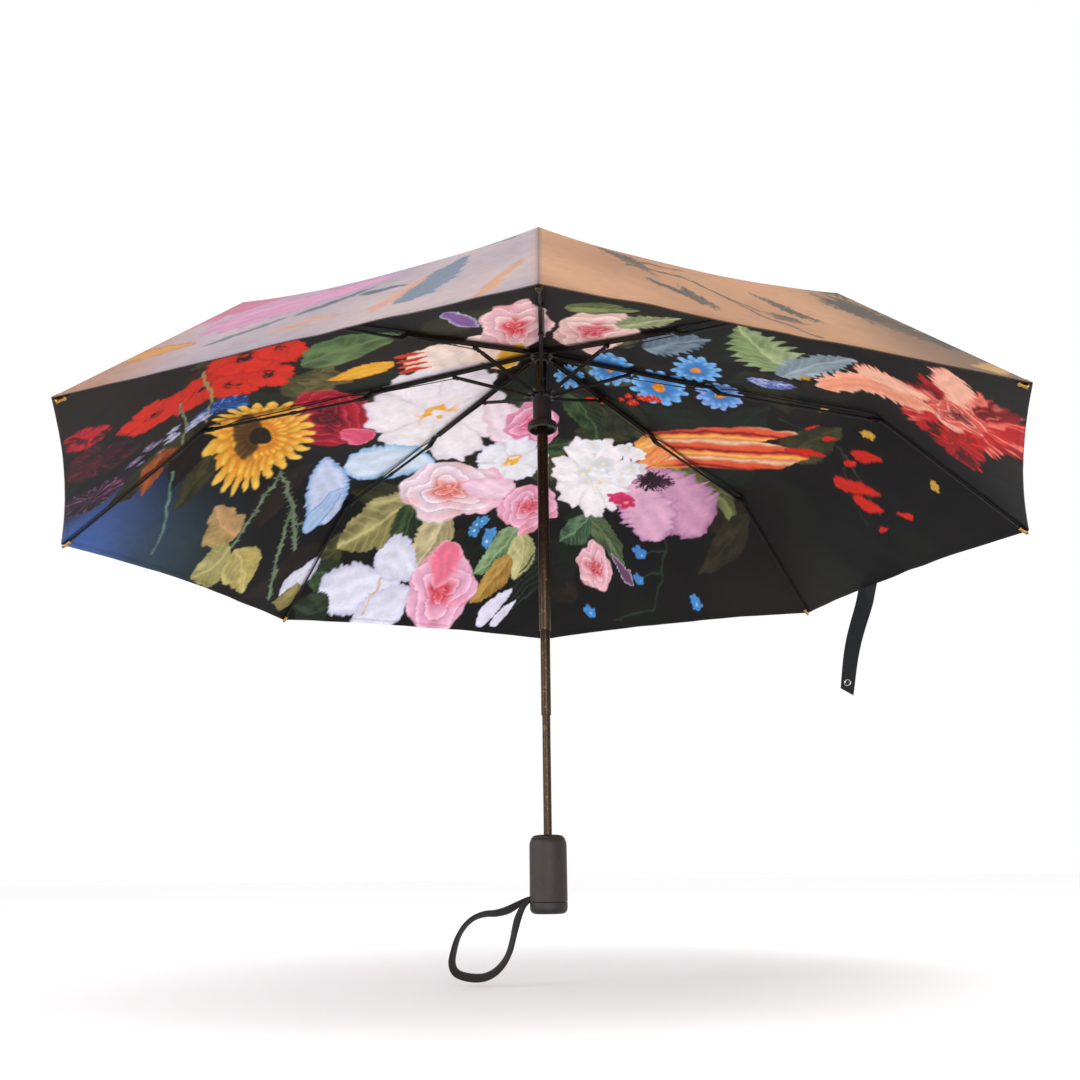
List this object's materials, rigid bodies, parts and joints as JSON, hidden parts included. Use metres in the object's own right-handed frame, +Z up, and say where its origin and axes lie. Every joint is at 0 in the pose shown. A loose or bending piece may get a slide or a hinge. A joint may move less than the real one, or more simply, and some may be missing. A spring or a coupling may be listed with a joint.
{
  "type": "folding umbrella",
  "caption": "Automatic folding umbrella, open: printed cloth canopy on jointed three-fold ribs, telescoping shaft, stubby handle with a wrist loop and a closing strap.",
  "frame": {"origin": "on the shaft's axis at the flat base of the handle, umbrella open", "axes": "+Z up the shaft towards the crown; -Y is the front, where one rib tip points; +X to the right of the front view"},
  "size_m": [0.9762, 0.9762, 0.6268],
  "materials": {
    "black_steel": "satin black coating, worn warm on the shaft",
    "bright_steel": "bright drawn wire",
    "black_nylon": "moulded, slightly glossy",
    "soft_grip": "matt soft-touch coating",
    "printed_cloth": "satin pongee printed with flowers, dark ground inside",
    "strap_cloth": "woven polyester ribbon"
  },
  "bodies": {
    "handle": {"handle_shell": "soft_grip", "handle_end_cap": "soft_grip", "handle_sleeve": "black_nylon", "lower_tube": "black_steel", "shaft_spring": "bright_steel", "button_spring": "bright_steel", "wrist_strap": "strap_cloth"},
    "push_button": {"push_button": "black_nylon"},
    "middle_tube": {"middle_tube": "black_steel"},
    "top_tube": {"top_tube": "black_steel", "crown": "black_nylon", "crown_wire": "bright_steel", "finial_cap": "black_nylon", "canopy": "printed_cloth"},
    "runner": {"runner": "black_nylon", "runner_wire": "bright_steel"},
    "strap_tab": {"strap_tab": "strap_cloth"},
    "closing_strap": {"closing_strap": "strap_cloth", "snap_button": "bright_steel"},
    "top_rib_1": {"top_rib_1": "black_steel"},
    "stretcher_1": {"stretcher_1": "black_steel"},
    "middle_rib_1": {"middle_rib_1": "black_steel"},
    "outer_rib_1": {"outer_rib_1": "black_steel"},
    "link_wire_1": {"link_wire_1": "black_steel"},
    "top_rib_2": {"top_rib_2": "black_steel"},
    "stretcher_2": {"stretcher_2": "black_steel"},
    "middle_rib_2": {"middle_rib_2": "black_steel"},
    "outer_rib_2": {"outer_rib_2": "black_steel"},
    "link_wire_2": {"link_wire_2": "black_steel"},
    "top_rib_3": {"top_rib_3": "black_steel"},
    "stretcher_3": {"stretcher_3": "black_steel"},
    "middle_rib_3": {"middle_rib_3": "black_steel"},
    "outer_rib_3": {"outer_rib_3": "black_steel"},
    "link_wire_3": {"link_wire_3": "black_steel"},
    "top_rib_4": {"top_rib_4": "black_steel"},
    "stretcher_4": {"stretcher_4": "black_steel"},
    "middle_rib_4": {"middle_rib_4": "black_steel"},
    "outer_rib_4": {"outer_rib_4": "black_steel"},
    "link_wire_4": {"link_wire_4": "black_steel"},
    "top_rib_5": {"top_rib_5": "black_steel"},
    "stretcher_5": {"stretcher_5": "black_steel"},
    "middle_rib_5": {"middle_rib_5": "black_steel"},
    "outer_rib_5": {"outer_rib_5": "black_steel"},
    "link_wire_5": {"link_wire_5": "black_steel"},
    "top_rib_6": {"top_rib_6": "black_steel"},
    "stretcher_6": {"stretcher_6": "black_steel"},
    "middle_rib_6": {"middle_rib_6": "black_steel"},
    "outer_rib_6": {"outer_rib_6": "black_steel"},
    "link_wire_6": {"link_wire_6": "black_steel"},
    "top_rib_7": {"top_rib_7": "black_steel"},
    "stretcher_7": {"stretcher_7": "black_steel"},
    "middle_rib_7": {"middle_rib_7": "black_steel"},
    "outer_rib_7": {"outer_rib_7": "black_steel"},
    "link_wire_7": {"link_wire_7": "black_steel"},
    "top_rib_8": {"top_rib_8": "black_steel"},
    "stretcher_8": {"stretcher_8": "black_steel"},
    "middle_rib_8": {"middle_rib_8": "black_steel"},
    "outer_rib_8": {"outer_rib_8": "black_steel"},
    "link_wire_8": {"link_wire_8": "black_steel"}
  },
  "joints": [
    {"name": "shaft_lower_slide", "type": "slide", "parent": "handle", "child": "middle_tube", "axis": [0, 0, 1], "range_m": [-0.16, 0], "deforming": ["shaft_spring"]},
    {"name": "shaft_upper_slide", "type": "slide", "parent": "middle_tube", "child": "top_tube", "axis": [0, 0, 1], "range_m": [-0.083, 0]},
    {"name": "button_press", "type": "slide", "parent": "handle", "child": "push_button", "axis": [0, -1, 0], "range_m": [0, 0.0025], "stiffness_N_per_m": 400, "deforming": ["button_spring"]},
    {"name": "canopy_fold", "type": "hinge", "parent": "top_tube", "child": "top_rib_1", "pos_m": [0, -0.00975, 0.562], "axis": [1, 0, 0], "range_deg": [0, 72.7], "deforming": ["canopy"]},
    {"name": "stretcher_1_hinge", "type": "hinge", "parent": "top_rib_1", "child": "stretcher_1", "pos_m": [0, -0.09235, 0.53806], "axis": [1, 0, 0], "range_deg": [-145.6, 0]},
    {"name": "link_wire_1_hinge", "type": "hinge", "parent": "stretcher_1", "child": "link_wire_1", "pos_m": [0, -0.08918, 0.53562], "axis": [1, 0, 0], "range_deg": [0, 145.6]},
    {"name": "middle_rib_1_hinge", "type": "hinge", "parent": "top_rib_1", "child": "middle_rib_1", "pos_m": [0, -0.17894, 0.52138], "axis": [1, 0, 0], "range_deg": [-175.4, 0]},
    {"name": "outer_rib_1_hinge", "type": "hinge", "parent": "middle_rib_1", "child": "outer_rib_1", "pos_m": [0, -0.34355, 0.48279], "axis": [1, 0, 0], "range_deg": [0, 148.7]},
    {"name": "top_rib_2_hinge", "type": "hinge", "parent": "top_tube", "child": "top_rib_2", "pos_m": [0.00689, -0.00689, 0.562], "axis": [0.7071, 0.7071, 0], "range_deg": [0, 72.8]},
    {"name": "stretcher_2_hinge", "type": "hinge", "parent": "top_rib_2", "child": "stretcher_2", "pos_m": [0.0653, -0.0653, 0.53806], "axis": [0.7071, 0.7071, 0], "range_deg": [-145.6, 0]},
    {"name": "link_wire_2_hinge", "type": "hinge", "parent": "stretcher_2", "child": "link_wire_2", "pos_m": [0.06306, -0.06306, 0.53562], "axis": [0.7071, 0.7071, 0], "range_deg": [0, 145.6]},
    {"name": "middle_rib_2_hinge", "type": "hinge", "parent": "top_rib_2", "child": "middle_rib_2", "pos_m": [0.12653, -0.12653, 0.52138], "axis": [0.7071, 0.7071, 0], "range_deg": [-175.4, 0]},
    {"name": "outer_rib_2_hinge", "type": "hinge", "parent": "middle_rib_2", "child": "outer_rib_2", "pos_m": [0.24293, -0.24293, 0.48279], "axis": [0.7071, 0.7071, 0], "range_deg": [0, 148.7]},
    {"name": "top_rib_3_hinge", "type": "hinge", "parent": "top_tube", "child": "top_rib_3", "pos_m": [0.00975, 0, 0.562], "axis": [0, 1, 0], "range_deg": [0, 72.8]},
    {"name": "stretcher_3_hinge", "type": "hinge", "parent": "top_rib_3", "child": "stretcher_3", "pos_m": [0.09235, 0, 0.53806], "axis": [0, 1, 0], "range_deg": [-145.6, 0]},
    {"name": "link_wire_3_hinge", "type": "hinge", "parent": "stretcher_3", "child": "link_wire_3", "pos_m": [0.08918, 0, 0.53562], "axis": [0, 1, 0], "range_deg": [0, 145.6]},
    {"name": "middle_rib_3_hinge", "type": "hinge", "parent": "top_rib_3", "child": "middle_rib_3", "pos_m": [0.17894, 0, 0.52138], "axis": [0, 1, 0], "range_deg": [-175.4, 0]},
    {"name": "outer_rib_3_hinge", "type": "hinge", "parent": "middle_rib_3", "child": "outer_rib_3", "pos_m": [0.34355, 0, 0.48279], "axis": [0, 1, 0], "range_deg": [0, 148.7]},
    {"name": "top_rib_4_hinge", "type": "hinge", "parent": "top_tube", "child": "top_rib_4", "pos_m": [0.00689, 0.00689, 0.562], "axis": [-0.7071, 0.7071, 0], "range_deg": [0, 72.8]},
    {"name": "stretcher_4_hinge", "type": "hinge", "parent": "top_rib_4", "child": "stretcher_4", "pos_m": [0.0653, 0.0653, 0.53806], "axis": [-0.7071, 0.7071, 0], "range_deg": [-145.6, 0]},
    {"name": "link_wire_4_hinge", "type": "hinge", "parent": "stretcher_4", "child": "link_wire_4", "pos_m": [0.06306, 0.06306, 0.53562], "axis": [-0.7071, 0.7071, 0], "range_deg": [0, 145.6]},
    {"name": "middle_rib_4_hinge", "type": "hinge", "parent": "top_rib_4", "child": "middle_rib_4", "pos_m": [0.12653, 0.12653, 0.52138], "axis": [-0.7071, 0.7071, 0], "range_deg": [-175.4, 0]},
    {"name": "outer_rib_4_hinge", "type": "hinge", "parent": "middle_rib_4", "child": "outer_rib_4", "pos_m": [0.24293, 0.24293, 0.48279], "axis": [-0.7071, 0.7071, 0], "range_deg": [0, 148.7]},
    {"name": "top_rib_5_hinge", "type": "hinge", "parent": "top_tube", "child": "top_rib_5", "pos_m": [0, 0.00975, 0.562], "axis": [-1, 0, 0], "range_deg": [0, 72.8]},
    {"name": "stretcher_5_hinge", "type": "hinge", "parent": "top_rib_5", "child": "stretcher_5", "pos_m": [0, 0.09235, 0.53806], "axis": [-1, 0, 0], "range_deg": [-145.6, 0]},
    {"name": "link_wire_5_hinge", "type": "hinge", "parent": "stretcher_5", "child": "link_wire_5", "pos_m": [0, 0.08918, 0.53562], "axis": [-1, 0, 0], "range_deg": [0, 145.6]},
    {"name": "middle_rib_5_hinge", "type": "hinge", "parent": "top_rib_5", "child": "middle_rib_5", "pos_m": [0, 0.17894, 0.52138], "axis": [-1, 0, 0], "range_deg": [-175.4, 0]},
    {"name": "outer_rib_5_hinge", "type": "hinge", "parent": "middle_rib_5", "child": "outer_rib_5", "pos_m": [0, 0.34355, 0.48279], "axis": [-1, 0, 0], "range_deg": [0, 148.7]},
    {"name": "top_rib_6_hinge", "type": "hinge", "parent": "top_tube", "child": "top_rib_6", "pos_m": [-0.00689, 0.00689, 0.562], "axis": [-0.7071, -0.7071, 0], "range_deg": [0, 72.8]},
    {"name": "stretcher_6_hinge", "type": "hinge", "parent": "top_rib_6", "child": "stretcher_6", "pos_m": [-0.0653, 0.0653, 0.53806], "axis": [-0.7071, -0.7071, 0], "range_deg": [-145.6, 0]},
    {"name": "link_wire_6_hinge", "type": "hinge", "parent": "stretcher_6", "child": "link_wire_6", "pos_m": [-0.06306, 0.06306, 0.53562], "axis": [-0.7071, -0.7071, 0], "range_deg": [0, 145.6]},
    {"name": "middle_rib_6_hinge", "type": "hinge", "parent": "top_rib_6", "child": "middle_rib_6", "pos_m": [-0.12653, 0.12653, 0.52138], "axis": [-0.7071, -0.7071, 0], "range_deg": [-175.4, 0]},
    {"name": "outer_rib_6_hinge", "type": "hinge", "parent": "middle_rib_6", "child": "outer_rib_6", "pos_m": [-0.24293, 0.24293, 0.48279], "axis": [-0.7071, -0.7071, 0], "range_deg": [0, 148.7]},
    {"name": "top_rib_7_hinge", "type": "hinge", "parent": "top_tube", "child": "top_rib_7", "pos_m": [-0.00975, 0, 0.562], "axis": [0, -1, 0], "range_deg": [0, 72.8]},
    {"name": "stretcher_7_hinge", "type": "hinge", "parent": "top_rib_7", "child": "stretcher_7", "pos_m": [-0.09235, 0, 0.53806], "axis": [0, -1, 0], "range_deg": [-145.6, 0]},
    {"name": "link_wire_7_hinge", "type": "hinge", "parent": "stretcher_7", "child": "link_wire_7", "pos_m": [-0.08918, 0, 0.53562], "axis": [0, -1, 0], "range_deg": [0, 145.6]},
    {"name": "middle_rib_7_hinge", "type": "hinge", "parent": "top_rib_7", "child": "middle_rib_7", "pos_m": [-0.17894, 0, 0.52138], "axis": [0, -1, 0], "range_deg": [-175.4, 0]},
    {"name": "outer_rib_7_hinge", "type": "hinge", "parent": "middle_rib_7", "child": "outer_rib_7", "pos_m": [-0.34355, 0, 0.48279], "axis": [0, -1, 0], "range_deg": [0, 148.7]},
    {"name": "top_rib_8_hinge", "type": "hinge", "parent": "top_tube", "child": "top_rib_8", "pos_m": [-0.00689, -0.00689, 0.562], "axis": [0.7071, -0.7071, 0], "range_deg": [0, 72.8]},
    {"name": "stretcher_8_hinge", "type": "hinge", "parent": "top_rib_8", "child": "stretcher_8", "pos_m": [-0.0653, -0.0653, 0.53806], "axis": [0.7071, -0.7071, 0], "range_deg": [-145.6, 0]},
    {"name": "link_wire_8_hinge", "type": "hinge", "parent": "stretcher_8", "child": "link_wire_8", "pos_m": [-0.06306, -0.06306, 0.53562], "axis": [0.7071, -0.7071, 0], "range_deg": [0, 145.6]},
    {"name": "middle_rib_8_hinge", "type": "hinge", "parent": "top_rib_8", "child": "middle_rib_8", "pos_m": [-0.12653, -0.12653, 0.52138], "axis": [0.7071, -0.7071, 0], "range_deg": [-175.4, 0]},
    {"name": "outer_rib_8_hinge", "type": "hinge", "parent": "middle_rib_8", "child": "outer_rib_8", "pos_m": [-0.24293, -0.24293, 0.48279], "axis": [0.7071, -0.7071, 0], "range_deg": [0, 148.7]},
    {"name": "runner_hinge", "type": "hinge", "parent": "stretcher_1", "child": "runner", "pos_m": [0, -0.00975, 0.51411], "axis": [1, 0, 0], "range_deg": [0, 72.8]},
    {"name": "strap_travel", "type": "slide", "parent": "outer_rib_4", "child": "strap_tab", "axis": [-0.3282, 0.9443, -0.0247], "range_m": [0, 0.1086]},
    {"name": "strap_hang", "type": "hinge", "parent": "strap_tab", "child": "closing_strap", "pos_m": [0.38636, 0.23198, 0.34579], "axis": [-0.7071, 0.7071, 0], "range_deg": [-59.3, 0]}
  ],
  "couplings": [
    {"joint": "stretcher_1_hinge", "follows": "canopy_fold", "ratio": -2},
    {"joint": "link_wire_1_hinge", "follows": "canopy_fold", "ratio": 2},
    {"joint": "middle_rib_1_hinge", "follows": "canopy_fold", "ratio": -2.4099},
    {"joint": "outer_rib_1_hinge", "follows": "canopy_fold", "ratio": 2.0426},
    {"joint": "top_rib_2_hinge", "follows": "canopy_fold", "ratio": 1},
    {"joint": "stretcher_2_hinge", "follows": "canopy_fold", "ratio": -2},
    {"joint": "link_wire_2_hinge", "follows": "canopy_fold", "ratio": 2},
    {"joint": "middle_rib_2_hinge", "follows": "canopy_fold", "ratio": -2.4099},
    {"joint": "outer_rib_2_hinge", "follows": "canopy_fold", "ratio": 2.0426},
    {"joint": "top_rib_3_hinge", "follows": "canopy_fold", "ratio": 1},
    {"joint": "stretcher_3_hinge", "follows": "canopy_fold", "ratio": -2},
    {"joint": "link_wire_3_hinge", "follows": "canopy_fold", "ratio": 2},
    {"joint": "middle_rib_3_hinge", "follows": "canopy_fold", "ratio": -2.4099},
    {"joint": "outer_rib_3_hinge", "follows": "canopy_fold", "ratio": 2.0426},
    {"joint": "top_rib_4_hinge", "follows": "canopy_fold", "ratio": 1},
    {"joint": "stretcher_4_hinge", "follows": "canopy_fold", "ratio": -2},
    {"joint": "link_wire_4_hinge", "follows": "canopy_fold", "ratio": 2},
    {"joint": "middle_rib_4_hinge", "follows": "canopy_fold", "ratio": -2.4099},
    {"joint": "outer_rib_4_hinge", "follows": "canopy_fold", "ratio": 2.0426},
    {"joint": "top_rib_5_hinge", "follows": "canopy_fold", "ratio": 1},
    {"joint": "stretcher_5_hinge", "follows": "canopy_fold", "ratio": -2},
    {"joint": "link_wire_5_hinge", "follows": "canopy_fold", "ratio": 2},
    {"joint": "middle_rib_5_hinge", "follows": "canopy_fold", "ratio": -2.4099},
    {"joint": "outer_rib_5_hinge", "follows": "canopy_fold", "ratio": 2.0426},
    {"joint": "top_rib_6_hinge", "follows": "canopy_fold", "ratio": 1},
    {"joint": "stretcher_6_hinge", "follows": "canopy_fold", "ratio": -2},
    {"joint": "link_wire_6_hinge", "follows": "canopy_fold", "ratio": 2},
    {"joint": "middle_rib_6_hinge", "follows": "canopy_fold", "ratio": -2.4099},
    {"joint": "outer_rib_6_hinge", "follows": "canopy_fold", "ratio": 2.0426},
    {"joint": "top_rib_7_hinge", "follows": "canopy_fold", "ratio": 1},
    {"joint": "stretcher_7_hinge", "follows": "canopy_fold", "ratio": -2},
    {"joint": "link_wire_7_hinge", "follows": "canopy_fold", "ratio": 2},
    {"joint": "middle_rib_7_hinge", "follows": "canopy_fold", "ratio": -2.4099},
    {"joint": "outer_rib_7_hinge", "follows": "canopy_fold", "ratio": 2.0426},
    {"joint": "top_rib_8_hinge", "follows": "canopy_fold", "ratio": 1},
    {"joint": "stretcher_8_hinge", "follows": "canopy_fold", "ratio": -2},
    {"joint": "link_wire_8_hinge", "follows": "canopy_fold", "ratio": 2},
    {"joint": "middle_rib_8_hinge", "follows": "canopy_fold", "ratio": -2.4099},
    {"joint": "outer_rib_8_hinge", "follows": "canopy_fold", "ratio": 2.0426},
    {"joint": "runner_hinge", "follows": "canopy_fold", "ratio": 1},
    {"joint": "strap_travel", "follows": "canopy_fold", "m_per_rad": 0.08537},
    {"joint": "strap_hang", "follows": "canopy_fold", "ratio": -0.81155}
  ]
}
